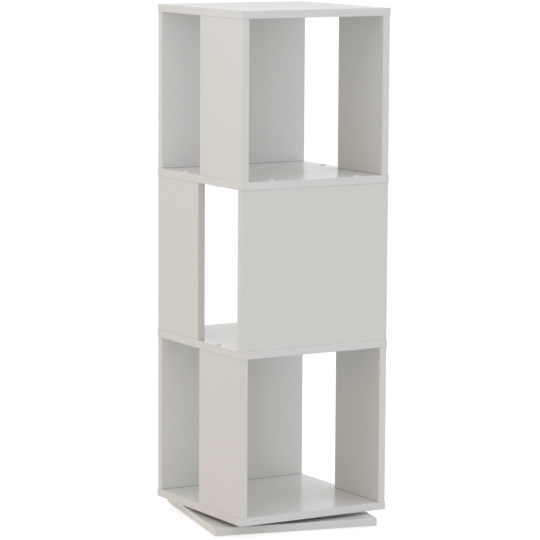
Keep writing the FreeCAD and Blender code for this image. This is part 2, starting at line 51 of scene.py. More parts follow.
MM = 0.001
MELAMINE = (0.750, 0.752, 0.742, 1)
MELAMINE_SHADE = (0.736, 0.737, 0.725, 1)
MELAMINE_CLOUDS = 3.5           # patches of the two whites in a metre
MELAMINE_DULL = (0.18, 0.24)    # least and most roughness of the faces
HANDLING_MARKS = 14.0           # duller patches in a metre
PEARL_GRAIN = 1.3 * MM          # one bump of the pressed grain
PEARL_DEPTH = 0.03 * MM
SHEET_THICKNESS = 0.3 * MM
GLUE_LINE = 0.15 * MM           # what shows of the glue beside an edge band
GLUE = (0.50, 0.49, 0.45, 1)
JOINT_LINE = 0.3 * MM           # painted shade in the joint of a panel with the board above or below
INNER_JOINT = 0.7 * MM          # the same in the corners inside, where less light gets in
JOINT_SHADE = (0.30, 0.295, 0.28, 1)
CHIP_PALE = (0.62, 0.47, 0.30, 1)
CHIP_DARK = (0.33, 0.21, 0.12, 1)
CHIP_SIZE = 2.2 * MM
CHIP_FLATTENING = 2.5           # chips lie flat in the board
CHIP_DULL = 0.9
SQUARE_ON = 0.9                 # a surface that faces less squarely isn't one of the two faces


def add(tree, kind, settings=None, **sockets):
    """Add a node to a tree.  A socket is named, or numbered as _0, _1, and gets a value or an
    output of another node."""
    node = tree.nodes.new(kind)
    for name, value in (settings or {}).items():
        setattr(node, name, value)
    for name, value in sockets.items():
        key = int(name[1:]) if name[0] == "_" else name.replace("_", " ")
        if isinstance(value, bpy.types.NodeSocket):
            tree.links.new(value, node.inputs[key])
        else:
            node.inputs[key].default_value = value
    return node


def calc(tree, operation, *terms):
    """One step of arithmetic between values or outputs."""
    sockets = {f"_{place}": term for place, term in enumerate(terms)}
    return add(tree, "ShaderNodeMath", {"operation": operation}, **sockets).outputs[0]


def blend(tree, share, first, second):
    """Mix two colours by a share from 0 to 1."""
    mix = add(tree, "ShaderNodeMix", {"data_type": "RGBA"}, _0=share, _6=first, _7=second)
    return mix.outputs[2]


def spread(tree, value, low, high):
    """Stretch a value from 0 to 1 over another range."""
    return add(tree, "ShaderNodeMapRange", Value=value, To_Min=low, To_Max=high).outputs[0]


def new_finish(name):
    """A material, its tree and its shader."""
    material = bpy.data.materials.new(name)
    material.use_nodes = True
    return material, material.node_tree, material.node_tree.nodes["Principled BSDF"]


def paint(tree, shader, colour, dullness):
    """Give a shader its colour and its roughness."""
    tree.links.new(colour, shader.inputs["Base Color"])
    tree.links.new(dullness, shader.inputs["Roughness"])


def relief(tree, shader, height, depth, strength):
    """Raise a shader's surface by a pattern of heights."""
    bump = add(tree, "ShaderNodeBump", Height=height, Distance=depth, Strength=strength)
    tree.links.new(bump.outputs[0], shader.inputs["Normal"])


def cover_with(name, material):
    """Give a node of the frame its only material."""
    nodes[name].data.materials.clear()
    nodes[name].data.materials.append(material)


def turn_of(name):
    """How far a square node is turned about Z, read from its farthest corner."""
    corner = max((v.co for v in nodes[name].data.vertices), key=lambda co: co.xy.length)
    angle = math.atan2(corner.y, corner.x) - math.pi / 4
    return angle - math.pi / 2 * round(angle / (math.pi / 2))


def own_axes(tree, turn):
    """Place on a piece and direction of its surface, along its own sides."""
    at = add(tree, "ShaderNodeTexCoord")
    return [add(tree, "ShaderNodeVectorRotate", {"rotation_type": "Z_AXIS"},
                Vector=at.outputs[kind], Angle=-turn).outputs[0] for kind in ("Object", "Normal")]


def melamine_board(name, seed, turn=0.0, dull=MELAMINE_DULL):
    """White sheet on the two faces of one board, and chips on all its other surfaces.

    A board that lies flat is banded all round.  An upright one is banded along its two upright
    sides, and joined to its neighbours by the other two.  seed picks its patches, and dull is
    the range of its roughness.
    """
    points = [Matrix.Rotation(-turn, 3, "Z") @ v.co for v in nodes[name].data.vertices]
    low = [min(p[axis] for p in points) for axis in range(3)]
    high = [max(p[axis] for p in points) for axis in range(3)]
    through = min(range(3), key=lambda axis: high[axis] - low[axis])

    material, tree, shader = new_finish(f"{name}_melamine")
    where, facing = own_axes(tree, turn)
    at = add(tree, "ShaderNodeSeparateXYZ", Vector=where)
    faces = add(tree, "ShaderNodeSeparateXYZ", Vector=facing)

    def from_side(axis):
        """Distance in from the nearer of the two sides across an axis."""
        off = calc(tree, "SUBTRACT", at.outputs[axis], (low[axis] + high[axis]) / 2)
        return calc(tree, "SUBTRACT", (high[axis] - low[axis]) / 2, calc(tree, "ABSOLUTE", off))

    flat = calc(tree, "GREATER_THAN", calc(tree, "ABSOLUTE", faces.outputs[through]), SQUARE_ON)
    outermost = calc(tree, "LESS_THAN", from_side(through), SHEET_THICKNESS)
    sheet = calc(tree, "MULTIPLY", flat, outermost)

    clouds = add(tree, "ShaderNodeTexNoise", {"noise_dimensions": "4D"}, Vector=where, W=seed,
                 Scale=MELAMINE_CLOUDS, Detail=2.0)
    paper = blend(tree, clouds.outputs["Fac"], MELAMINE, MELAMINE_SHADE)
    across, along = [axis for axis in range(3) if axis != through]
    glue = calc(tree, "LESS_THAN", from_side(across), GLUE_LINE)
    if through == 2:
        glue = calc(tree, "MAXIMUM", glue, calc(tree, "LESS_THAN", from_side(along), GLUE_LINE))
    else:
        # Painted shade along the two ends of an upright board, where it meets the boards above and
        # below; wider on its inner face.
        outwards = calc(tree, "MULTIPLY", faces.outputs[through], low[through] + high[through])
        inner = calc(tree, "LESS_THAN", outwards, 0.0)
        width = spread(tree, inner, JOINT_LINE, INNER_JOINT)
        painted_joint_shade = calc(tree, "LESS_THAN", from_side(along), width)
        paper = blend(tree, painted_joint_shade, paper, JOINT_SHADE)
    paper = blend(tree, glue, paper, GLUE)

    flattened = [CHIP_FLATTENING if axis == through else 1.0 for axis in range(3)]
    squeezed = add(tree, "ShaderNodeMapping", Vector=where, Scale=flattened)
    chips = add(tree, "ShaderNodeTexVoronoi", Vector=squeezed.outputs[0], Scale=1 / CHIP_SIZE)
    shade = add(tree, "ShaderNodeSeparateColor", Color=chips.outputs["Color"])
    core = blend(tree, shade.outputs[0], CHIP_PALE, CHIP_DARK)

    grain = add(tree, "ShaderNodeTexVoronoi", {"feature": "SMOOTH_F1"}, Vector=where,
                Scale=1 / PEARL_GRAIN)
    handled = add(tree, "ShaderNodeTexNoise", Vector=where, Scale=HANDLING_MARKS, Detail=3.0)
    satin = spread(tree, handled.outputs["Fac"], *dull)
    rough = add(tree, "ShaderNodeMix", {"data_type": "FLOAT"}, _0=sheet, _2=CHIP_DULL, _3=satin)
    paint(tree, shader, blend(tree, sheet, core, paper), rough.outputs[0])
    height = add(tree, "ShaderNodeMix", {"data_type": "FLOAT"}, _0=sheet,
                 _2=chips.outputs["Distance"], _3=grain.outputs["Distance"])
    relief(tree, shader, height.outputs[0], PEARL_DEPTH, strength=0.6)
    cover_with(name, material)


BASE_TURN = turn_of("base_plate")
melamine_board("base_plate", seed=0.0, turn=BASE_TURN)


# ---------------------------------------------------------------------------------------------
# Edge bands of the base plate.  White plastic strips glued on and trimmed flush: smoother than
# the faces, and paler where the trimmer rounds their edges: scraped a little, and a painted
# highlight.

BAND = (0.752, 0.754, 0.746, 1)
BAND_SCRAPED_AND_HIGHLIT = (0.80, 0.80, 0.795, 1)
BAND_GRAIN = 0.9 * MM
BAND_GRAIN_DEPTH = 0.012 * MM
BAND_DULL = (0.29, 0.36)
BAND_MARKS = 30.0               # duller patches in a metre
BAND_SQUARE_ON = 0.98           # a surface less square to every axis is a rounded edge


def band_finish(name, turn, ends=None):
    """Plastic of the edge bands, for bands along the sides of a piece with this turn.

    ends are the heights between which upright bands stand; shade is painted across them at the
    joint at each end.
    """
    material, tree, shader = new_finish(name)
    where, facing = own_axes(tree, turn)
    faces = add(tree, "ShaderNodeSeparateXYZ", Vector=facing)
    square = calc(tree, "ABSOLUTE", faces.outputs[0])
    for axis in (1, 2):
        square = calc(tree, "MAXIMUM", square, calc(tree, "ABSOLUTE", faces.outputs[axis]))
    # The rounded edges are painted paler: partly the scraping of the trimmer, partly a painted
    # highlight.
    scraped_and_highlit = calc(tree, "LESS_THAN", square, BAND_SQUARE_ON)
    plastic = blend(tree, scraped_and_highlit, BAND, BAND_SCRAPED_AND_HIGHLIT)
    if ends:
        # Painted shade across an upright band at its two ends, where it meets the boards.
        at = add(tree, "ShaderNodeSeparateXYZ", Vector=where)
        off = calc(tree, "ABSOLUTE", calc(tree, "SUBTRACT", at.outputs[2], sum(ends) / 2))
        painted_joint_shade = calc(tree, "GREATER_THAN", off, (ends[1] - ends[0]) / 2 - JOINT_LINE)
        plastic = blend(tree, painted_joint_shade, plastic, JOINT_SHADE)
    marks = add(tree, "ShaderNodeTexNoise", Vector=where, Scale=BAND_MARKS)
    paint(tree, shader, plastic, spread(tree, marks.outputs["Fac"], *BAND_DULL))
    grain = add(tree, "ShaderNodeTexNoise", Vector=where, Scale=1 / BAND_GRAIN, Detail=2.0)
    relief(tree, shader, grain.outputs["Fac"], BAND_GRAIN_DEPTH, strength=0.5)
    return material


cover_with("base_plate_edging", band_finish("base_edge_band", BASE_TURN))


# ---------------------------------------------------------------------------------------------
# Glides.  Four moulded discs of pale polyethylene under the base plate, dished on the foot and
# rounded at the rim, each with a countersunk seat for its nail.

GLIDE = (0.66, 0.66, 0.63, 1)
GLIDE_SCUFFED = (0.42, 0.41, 0.39, 1)
GLIDE_DULL = (0.35, 0.6)
GLIDE_SCRATCHES = 900.0         # in a metre
GLIDE_SCRATCH_DEPTH = 0.02 * MM
GLIDE_SCUFF = 0.56              # scratches above this level are scuffed dark
GLIDE_SCUFF_HEIGHT = 0.2 * MM   # and they lie below this height
GLIDE_RADIUS = 11 * MM
GLIDE_RIM = 0.9 * MM
GLIDE_BEVEL = 0.3 * MM
GLIDE_GROOVE = 0.35 * MM        # depth of the ring moulded into the foot
GLIDE_GROOVE_MOUTH = 0.8 * MM   # half the width of that ring at its mouth
GLIDE_GROOVE_FLOOR = 0.3 * MM   # and at its floor
GLIDE_BORE = 1.05 * MM
GLIDE_SEAT = 2.8 * MM           # radius and depth of the seat of the nail's head
GLIDE_SEAT_DEPTH = 1.3 * MM
GLIDE_SEAT_BEVEL = 0.25 * MM
WELD = 1e-6                     # corners nearer than this are one


def solids_in(name):
    """Low and high corner of every separate solid in a node of the frame."""
    shell = bmesh.new()
    shell.from_mesh(nodes[name].data)
    bmesh.ops.remove_doubles(shell, verts=shell.verts, dist=WELD)
    boxes, seen = [], set()
    for start in shell.verts:
        if start in seen:
            continue
        seen.add(start)
        solid = [start]
        for vertex in solid:
            for edge in vertex.link_edges:
                other = edge.other_vert(vertex)
                if other not in seen:
                    seen.add(other)
                    solid.append(other)
        low = Vector([min(v.co[axis] for v in solid) for axis in range(3)])
        high = Vector([max(v.co[axis] for v in solid) for axis in range(3)])
        boxes.append((low, high))
    shell.free()
    return boxes


def middle(low, high, height):
    """Point at a height on the upright line through the middle of a box."""
    return (low.x + high.x) / 2, (low.y + high.y) / 2, height


def turned(profile, columns):
    """Turn a profile of (radius, height) points about Z into a mesh."""
    shape = bmesh.new()
    rings = []
    for radius, height in profile:
        around = 1 if radius == 0 else columns
        rings.append([shape.verts.new((radius * math.cos(2 * math.pi * step / columns),
                                       radius * math.sin(2 * math.pi * step / columns), height))
                      for step in range(around)])
    for first, second in zip(rings, rings[1:]):
        for step in range(columns):
            corners = []
            for ring, place in ((first, step), (first, step + 1),
                                (second, step + 1), (second, step)):
                corner = ring[place % len(ring)]
                if corner not in corners:
                    corners.append(corner)
            if len(corners) > 2:
                shape.faces.new(corners)
    bmesh.ops.remove_doubles(shape, verts=shape.verts, dist=WELD)
    bmesh.ops.recalc_face_normals(shape, faces=shape.faces)
    return shape


def new_item(name, data):
    """An object that stands in the scene."""
    item = bpy.data.objects.new(name, data)
    bpy.context.scene.collection.objects.link(item)
    return item


def master_of(name, *shapes):
    """Join shapes into one mesh, an object that is only copied and never shown."""
    mesh = bpy.data.meshes.new(name)
    joined = bmesh.new()
    for shape in shapes:
        part = bpy.data.meshes.new("part")
        shape.to_mesh(part)
        shape.free()
        joined.from_mesh(part)
        bpy.data.meshes.remove(part)
    joined.to_mesh(mesh)
    joined.free()
    return bpy.data.objects.new(name, mesh)


def round_profile(start, end, steps=5):
    """Points of a quarter round from start to end, bulging away from the axis."""
    (r0, z0), (r1, z1) = start, end
    points = []
    for step in range(steps + 1):
        angle = math.pi / 2 * step / steps
        points.append((r0 + (r1 - r0) * math.sin(angle), z1 + (z0 - z1) * math.cos(angle)))
    return points


def new_tree(name, **inputs):
    """A tree of geometry nodes, with the name and the kind of each of its inputs."""
    tree = bpy.data.node_groups.new(name, "GeometryNodeTree")
    tree.interface.new_socket("Geometry", in_out="INPUT", socket_type="NodeSocketGeometry")
    for label, kind in inputs.items():
        tree.interface.new_socket(label.replace("_", " "), in_out="INPUT",
                                  socket_type=f"NodeSocket{kind}")
    tree.interface.new_socket("Geometry", in_out="OUTPUT", socket_type="NodeSocketGeometry")
    given = add(tree, "NodeGroupInput").outputs
    result = add(tree, "NodeGroupOutput").inputs[0]
    return tree, given, result


def end_tree(tree, geometry, finish, result):
    """Make the copies in a tree real, give the whole one material, and hand it out."""
    real = add(tree, "GeometryNodeRealizeInstances", Geometry=geometry)
    dressed = add(tree, "GeometryNodeSetMaterial", Geometry=real.outputs[0], Material=finish)
    tree.links.new(dressed.outputs[0], result)


def grow(item, tree, **values):
    """Run a tree on an object, with a value for each input, and keep the outcome as its plain
    mesh, smooth and without the empty material slot that the object started with."""
    modifier = item.modifiers.new(tree.name, "NODES")
    modifier.node_group = tree
    for socket in tree.interface.items_tree:
        label = socket.name.replace(" ", "_")
        if socket.in_out == "INPUT" and label in values:
            modifier[socket.identifier] = values[label]
    bpy.context.view_layer.update()
    ready = item.evaluated_get(bpy.context.evaluated_depsgraph_get())
    mesh = bpy.data.meshes.new_from_object(ready)
    item.modifiers.remove(modifier)
    while mesh.materials and mesh.materials[0] is None:
        mesh.materials.pop(index=0)
    for polygon in mesh.polygons:
        polygon.use_smooth = True
    item.data = mesh
    mesh.name = item.name


# Copies of one piece, set down at the points of a mesh and turned as each point says.
set_out, given, result = new_tree("set_out", Piece="Object", Finish="Material")
piece = add(set_out, "GeometryNodeObjectInfo", Object=given["Piece"])
way = add(set_out, "GeometryNodeInputNamedAttribute", {"data_type": "FLOAT_VECTOR"}, Name="way")
way_up = add(set_out, "FunctionNodeEulerToRotation", Euler=way.outputs["Attribute"])
copies = add(set_out, "GeometryNodeInstanceOnPoints", Points=given["Geometry"],
             Instance=piece.outputs["Geometry"], Rotation=way_up.outputs[0])
end_tree(set_out, copies.outputs[0], given["Finish"], result)


def set_down(name, master, places, finish, body, replaced, smooth=35):
    """Set copies of a master at (place, turn) pairs, instead of a node of the frame.

    smooth is the angle in degrees from which an edge stays sharp.
    """
    mesh = bpy.data.meshes.new(name)
    mesh.from_pydata([place for place, _ in places], [], [])
    ways = mesh.attributes.new("way", "FLOAT_VECTOR", "POINT")
    ways.data.foreach_set("vector", [angle for _, turn in places for angle in turn])
    item = new_item(name, mesh)
    grow(item, set_out, Piece=master, Finish=finish)
    item.data.set_sharp_from_angle(angle=math.radians(smooth))
    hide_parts(replaced)
    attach(item, body)


def glide_profile(height):
    """A glide from its bore over the top, round the rim and the foot, and back."""
    foot = GLIDE_RADIUS - GLIDE_RIM
    groove = (GLIDE_SEAT + foot) / 2
    profile = [(GLIDE_BORE, height), (GLIDE_RADIUS - GLIDE_BEVEL, height),
               (GLIDE_RADIUS, height - GLIDE_BEVEL), (GLIDE_RADIUS, GLIDE_RIM)]
    rim = round_profile((foot, 0.0), (GLIDE_RADIUS, GLIDE_RIM))
    profile += rim[::-1][1:]
    profile += [(groove + GLIDE_GROOVE_MOUTH, 0.0), (groove + GLIDE_GROOVE_FLOOR, GLIDE_GROOVE),
                (groove - GLIDE_GROOVE_FLOOR, GLIDE_GROOVE), (groove - GLIDE_GROOVE_MOUTH, 0.0),
                (GLIDE_SEAT + GLIDE_SEAT_BEVEL, 0.0), (GLIDE_SEAT, GLIDE_SEAT_BEVEL),
                (GLIDE_SEAT, GLIDE_SEAT_DEPTH), (GLIDE_BORE, GLIDE_SEAT_DEPTH),
                (GLIDE_BORE, height)]
    return profile


def place_on(tree):
    """Place on a piece, along the axes of the whole object."""
    return add(tree, "ShaderNodeTexCoord").outputs["Object"]


glide_finish, tree, shader = new_finish("glide_polyethylene")
where = place_on(tree)
at = add(tree, "ShaderNodeSeparateXYZ", Vector=where)
near_floor = calc(tree, "LESS_THAN", at.outputs[2], GLIDE_SCUFF_HEIGHT)
scratches = add(tree, "ShaderNodeTexNoise", Vector=where, Scale=GLIDE_SCRATCHES, Detail=4.0)
scuffs = calc(tree, "GREATER_THAN", scratches.outputs["Fac"], GLIDE_SCUFF)
worn = calc(tree, "MULTIPLY", near_floor, scuffs)
paint(tree, shader, blend(tree, worn, GLIDE, GLIDE_SCUFFED),
      spread(tree, scratches.outputs["Fac"], *GLIDE_DULL))
relief(tree, shader, scratches.outputs["Fac"], GLIDE_SCRATCH_DEPTH, strength=0.4)
shader.inputs["Subsurface Weight"].default_value = 0.1

glide_boxes = solids_in("base_glides")
glide_height = max(high.z for _, high in glide_boxes)
glide = master_of("glide", turned(glide_profile(glide_height), columns=56))
places = [(middle(low, high, 0.0), (0.0, 0.0, BASE_TURN)) for low, high in glide_boxes]
set_down("moulded_glides", glide, places, glide_finish, "base", "base_glides")


# ---------------------------------------------------------------------------------------------
# Glide nails.  Bright steel wire with an upset flat head, ring grooves that hold in the
# chipboard, and a cut point; driven up through the glides.

STEEL = (0.56, 0.56, 0.57, 1)
NAIL_HEAD = 2.7 * MM
NAIL_HEAD_HEIGHT = 1.0 * MM
NAIL_HEAD_BEVEL = 0.15 * MM
NAIL_HEAD_SHOULDER = 0.2 * MM
NAIL_WIRE = 1.0 * MM
NAIL_SMOOTH = 1.5 * MM          # plain wire between the head and the first groove
NAIL_GROOVE = 0.12 * MM
NAIL_GROOVE_STEP = 0.2 * MM     # height of a groove's steep side
NAIL_GROOVE_SHARE = 0.7         # share of the pitch that a groove takes up
NAIL_GROOVE_PITCH = 1.0 * MM
NAIL_GROOVES = 9
NAIL_POINT = 2.5 * MM
METAL_PATCHES = 160.0           # in a metre
METAL_GRAIN_DEPTH = 0.01 * MM
METAL_POLISHED = 0.08           # how far the roughness falls and rises about its own value
METAL_DULLED = 0.2


def metal_finish(name, colour, dull, grain_size, patina=0.12):
    """Plated or bright steel: fine grain, and patches that are a little darker and duller.

    patina is half the share of its light that the darkest patch loses.
    """
    material, tree, shader = new_finish(name)
    where = place_on(tree)
    patches = add(tree, "ShaderNodeTexNoise", Vector=where, Scale=METAL_PATCHES, Detail=3.0)
    darker = tuple(part * (1 - patina * 2) for part in colour[:3]) + (1,)
    grain = add(tree, "ShaderNodeTexNoise", Vector=where, Scale=1 / grain_size, Detail=2.0)
    mottle = calc(tree, "MULTIPLY", grain.outputs["Fac"], patches.outputs["Fac"])
    paint(tree, shader, blend(tree, patches.outputs["Fac"], colour, darker),
          spread(tree, mottle, dull - METAL_POLISHED, dull + METAL_DULLED))
    relief(tree, shader, grain.outputs["Fac"], METAL_GRAIN_DEPTH, strength=0.3)
    shader.inputs["Metallic"].default_value = 1.0
    return material, tree, shader


def nail_profile(length):
    """A nail from its head, which lies lowest, up to its point."""
    profile = [(0.0, 0.0), (NAIL_HEAD - NAIL_HEAD_BEVEL, 0.0), (NAIL_HEAD, NAIL_HEAD_BEVEL),
               (NAIL_HEAD, NAIL_HEAD_HEIGHT - NAIL_HEAD_SHOULDER),
               (NAIL_HEAD - NAIL_HEAD_SHOULDER, NAIL_HEAD_HEIGHT), (NAIL_WIRE, NAIL_HEAD_HEIGHT)]
    height = NAIL_HEAD_HEIGHT + NAIL_SMOOTH
    for _ in range(NAIL_GROOVES):
        profile += [(NAIL_WIRE, height), (NAIL_WIRE - NAIL_GROOVE, height + NAIL_GROOVE_STEP),
                    (NAIL_WIRE, height + NAIL_GROOVE_SHARE * NAIL_GROOVE_PITCH)]
        height += NAIL_GROOVE_PITCH
    return profile + [(NAIL_WIRE, length - NAIL_POINT), (0.0, length)]


nail_boxes = solids_in("glide_nails")
nail_length = nail_boxes[0][1].z - nail_boxes[0][0].z
nail = master_of("nail", turned(nail_profile(nail_length), columns=16))
nail_steel = metal_finish("bright_steel", STEEL, dull=0.3, grain_size=0.4 * MM)[0]
places = [(middle(low, high, low.z), (0.0, 0.0, 0.0)) for low, high in nail_boxes]
set_down("ring_nails", nail, places, nail_steel, "base", "glide_nails")


# ---------------------------------------------------------------------------------------------
# Swivel bearing plates.  Two pressed squares of zinc-plated sheet steel with a ball track; the
# hem of the upper one is rolled out under the lip of the lower one.  Grease creeps from the balls.

ZINC = (0.66, 0.68, 0.70, 1)
ZINC_SPANGLE = (0.58, 0.60, 0.63, 1)
GREASE = (0.16, 0.13, 0.08, 1)
SPANGLE_SIZE = 6 * MM
BALL_CIRCLE = 56 * MM
GREASE_WIDTH = 5 * MM
GREASE_PATCHES = 90.0           # in a metre
GREASE_FILM = 0.55              # how much of the metal a smear hides

material, tree, shader = metal_finish("zinc_sheet", ZINC, dull=0.32, grain_size=0.5 * MM)
where = place_on(tree)
spangle = add(tree, "ShaderNodeTexVoronoi", Vector=where, Scale=1 / SPANGLE_SIZE)
shade = add(tree, "ShaderNodeSeparateColor", Color=spangle.outputs["Color"])
plated = blend(tree, shade.outputs[0], ZINC, ZINC_SPANGLE)
at = add(tree, "ShaderNodeSeparateXYZ", Vector=where)
level = add(tree, "ShaderNodeCombineXYZ", X=at.outputs[0], Y=at.outputs[1])
out = add(tree, "ShaderNodeVectorMath", {"operation": "LENGTH"}, _0=level.outputs[0])
off_track = calc(tree, "ABSOLUTE", calc(tree, "SUBTRACT", out.outputs["Value"], BALL_CIRCLE))
smear = add(tree, "ShaderNodeTexNoise", Vector=where, Scale=GREASE_PATCHES, Detail=3.0)
reach = calc(tree, "MULTIPLY", smear.outputs["Fac"], 2 * GREASE_WIDTH)
greasy = calc(tree, "MULTIPLY", calc(tree, "LESS_THAN", off_track, reach), GREASE_FILM)
tree.links.new(blend(tree, greasy, plated, GREASE), shader.inputs["Base Color"])
cover_with("lower_bearing_plate", material)
cover_with("upper_bearing_plate", material)


# ---------------------------------------------------------------------------------------------
# Bearing screws.  Zinc-plated chipboard screws with a domed pan head, a cross recess and a
# sharp thread; four hold the lower plate to the base, four the upper one to the bottom board.

PAN_HEAD = 4.0 * MM
PAN_HEAD_HEIGHT = 2.2 * MM
PAN_FLAT = 2.7 * MM             # radius of the flat on the crown
PAN_SIDE = 0.35                 # height of the upright side, as a share of the head's
PAN_BEVEL = 0.15 * MM
PAN_NECK = 0.5 * MM             # how far the head reaches down inside the shank
CROSS_WIDTH = 4.2 * MM
CROSS_SLOT = 0.9 * MM
CROSS_CORNER = 1.4              # the inner corners lie further out by this, so they are blunt
CROSS_DEPTH = 1.2 * MM
CROSS_TAPER = 0.55
PLATE_SCREW_THREAD = 1.8 * MM
PLATE_SCREW_CORE = 1.25 * MM
PLATE_SCREW_PITCH = 1.6 * MM
PLATE_SCREW_TOP = -0.1 * MM     # where the shank starts under the head
PLATE_SCREW_POINT = 3.2 * MM
PLATE_SCREW_TIP = 0.05 * MM
LOWER_SCREW_TURN = 0.9          # radians by which each screw stops further round than the last
UPPER_SCREW_TURN = 0.7
DISC_CORNERS = 8                # the flat disc on a head has more corners than this
ROWS_A_TURN = 6                 # rows of faces on one turn of a thread
THREAD_SHARPNESS = 4.5
PAST_SEAM = 1e-4                # a push over the seam between two turns
END_ROW = 0.4999                # the end rows of the sheet lie further than this from its middle


def sums_in(tree):
    """Plus, minus and times in one tree, each a function of its two terms."""
    return [partial(calc, tree, operation) for operation in ("ADD", "SUBTRACT", "MULTIPLY")]


def flat_sheet(tree, columns, rows):
    """A sheet of faces, and how far across and along it each point lies, from 0 to 1."""
    sheet = add(tree, "GeometryNodeMeshGrid", Size_X=1.0, Size_Y=1.0,
                Vertices_X=calc(tree, "ADD", columns, 1), Vertices_Y=calc(tree, "ADD", rows, 1))
    flat_place = add(tree, "GeometryNodeInputPosition")
    spot = add(tree, "ShaderNodeSeparateXYZ", Vector=flat_place.outputs[0])
    return sheet.outputs[0], *(calc(tree, "ADD", spot.outputs[axis], 0.5) for axis in (0, 1))


def roll_up(tree, sheet, angle, radius, height, finish, result):
    """Roll a sheet into a tube, weld its seam and its ends, and end the tree."""
    rolled = add(tree, "ShaderNodeCombineXYZ",
                 X=calc(tree, "MULTIPLY", radius, calc(tree, "COSINE", angle)),
                 Y=calc(tree, "MULTIPLY", radius, calc(tree, "SINE", angle)), Z=height)
    tube = add(tree, "GeometryNodeSetPosition", Geometry=sheet, Position=rolled.outputs[0])
    closed = add(tree, "GeometryNodeMergeByDistance", Geometry=tube.outputs[0], Distance=WELD)
    end_tree(tree, closed.outputs[0], finish, result)


# A threaded shank: a sheet rolled into a tube, whose rows climb one pitch a turn, so that every
# sixth row is the crest of the thread.
threaded, given, result = new_tree(
    "threaded_shank", Core_Radius="Float", Thread_Radius="Float", Pitch="Float", Top="Float",
    Bottom="Float", Point_Length="Float", Tip_Radius="Float", Turns="Int", Columns="Int",
    Finish="Material")
plus, minus, times = sums_in(threaded)
sheet, around, along = flat_sheet(threaded, given["Columns"], times(given["Turns"], ROWS_A_TURN))
turns_down = times(along, given["Turns"])
free_height = minus(given["Top"], times(minus(turns_down, around), given["Pitch"]))
height = calc(threaded, "MAXIMUM", calc(threaded, "MINIMUM", free_height, given["Top"]),
              given["Bottom"])
phase = calc(threaded, "FRACT", plus(turns_down, PAST_SEAM))
off_crest = calc(threaded, "ABSOLUTE", minus(phase, 0.5))
ridge = calc(threaded, "MAXIMUM", minus(1.0, times(off_crest, THREAD_SHARPNESS)), 0.0)
below_top = minus(given["Top"], height)
above_point = minus(height, given["Bottom"])
run_in = add(threaded, "ShaderNodeClamp",
             Value=calc(threaded, "DIVIDE", below_top, given["Pitch"]))
run_out = add(threaded, "ShaderNodeClamp",
              Value=calc(threaded, "DIVIDE", above_point, given["Point Length"]))
tooth = times(times(ridge, run_in.outputs[0]),
              minus(given["Thread Radius"], given["Core Radius"]))
full = plus(given["Core Radius"], tooth)
cone = plus(given["Tip Radius"],
            times(run_out.outputs[0], minus(given["Thread Radius"], given["Tip Radius"])))
off_middle = calc(threaded, "ABSOLUTE", minus(along, 0.5))
radius = times(calc(threaded, "MINIMUM", full, cone),
               calc(threaded, "LESS_THAN", off_middle, END_ROW))
roll_up(threaded, sheet, times(around, 2 * math.pi), radius, height, given["Finish"], result)


def shape_of(tree, **values):
    """The closed shape that a tree grows out of nothing."""
    item = new_item("shape", bpy.data.meshes.new("shape"))
    grow(item, tree, **values)
    shape = bmesh.new()
    shape.from_mesh(item.data)
    bpy.data.objects.remove(item)
    bmesh.ops.holes_fill(shape, edges=[edge for edge in shape.edges if edge.is_boundary])
    bmesh.ops.recalc_face_normals(shape, faces=shape.faces)
    return shape


def threaded_shank(core, thread, pitch, top, bottom, point, tip, columns, finish):
    """A threaded shank between two heights, as a closed shape."""
    return shape_of(threaded, Core_Radius=core, Thread_Radius=thread, Pitch=pitch, Top=top,
                    Bottom=bottom, Point_Length=point, Tip_Radius=tip, Columns=columns,
                    Turns=math.ceil((top - bottom) / pitch) + 1, Finish=finish)


def recess(shape, outline, mouth, depth, taper):
    """Press a tapered recess into a flat disc of a shape that faces up: its outline is a list of
    (x, y), and the disc is the one face there whose corners all lie at the height of its mouth."""
    disc = next(face for face in shape.faces
                if len(face.verts) > DISC_CORNERS
                and all(abs(v.co.z - mouth) < WELD for v in face.verts))
    rim = list(disc.verts)
    shape.faces.remove(disc)
    levels = [[shape.verts.new((x * share, y * share, mouth - drop)) for x, y in outline]
              for share, drop in ((1.0, 0.0), (taper, depth))]
    bridge = []
    for ring in (rim, levels[0]):
        for first, second in zip(ring, ring[1:] + ring[:1]):
            bridge.append(shape.edges.get((first, second)) or shape.edges.new((first, second)))
    bmesh.ops.triangle_fill(shape, use_beauty=True, edges=bridge)
    for step in range(len(outline)):
        following = (step + 1) % len(outline)
        shape.faces.new((levels[0][step], levels[0][following], levels[1][following],
                         levels[1][step]))
    shape.faces.new(levels[1])
    bmesh.ops.recalc_face_normals(shape, faces=shape.faces)


def turned_with_disc(profile, columns):
    """Turn a profile that starts at the rim of a flat disc, and close it with that one face."""
    shape = turned(profile, columns)
    open_rim = [edge for edge in shape.edges if edge.is_boundary]
    bmesh.ops.contextual_create(shape, geom=open_rim)
    return shape


def pan_head_screw(length, finish):
    """Pan head above its seat at z = 0, and the threaded shank below it."""
    crown = round_profile((PAN_FLAT, PAN_HEAD_HEIGHT), (PAN_HEAD, PAN_HEAD_HEIGHT * PAN_SIDE),
                          steps=6)
    profile = crown + [(PAN_HEAD, PAN_BEVEL), (PAN_HEAD - PAN_BEVEL, 0.0),
                       (PLATE_SCREW_CORE, 0.0), (PLATE_SCREW_CORE, -PAN_NECK), (0.0, -PAN_NECK)]
    head = turned_with_disc(profile, columns=40)
    arm, slot = CROSS_WIDTH / 2, CROSS_SLOT / 2
    corner = slot * CROSS_CORNER
    quarter = [(arm, -slot), (arm, slot), (corner, corner)]
    cross = []
    for step in range(4):
        turn = Matrix.Rotation(step * math.pi / 2, 2)
        cross += [tuple(turn @ Vector(point)) for point in quarter]
    recess(head, cross, PAN_HEAD_HEIGHT, CROSS_DEPTH, CROSS_TAPER)
    shank = threaded_shank(PLATE_SCREW_CORE, PLATE_SCREW_THREAD, PLATE_SCREW_PITCH,
                           PLATE_SCREW_TOP, -length, PLATE_SCREW_POINT, PLATE_SCREW_TIP,
                           columns=20, finish=finish)
    return master_of("pan_head_screw", head, shank)


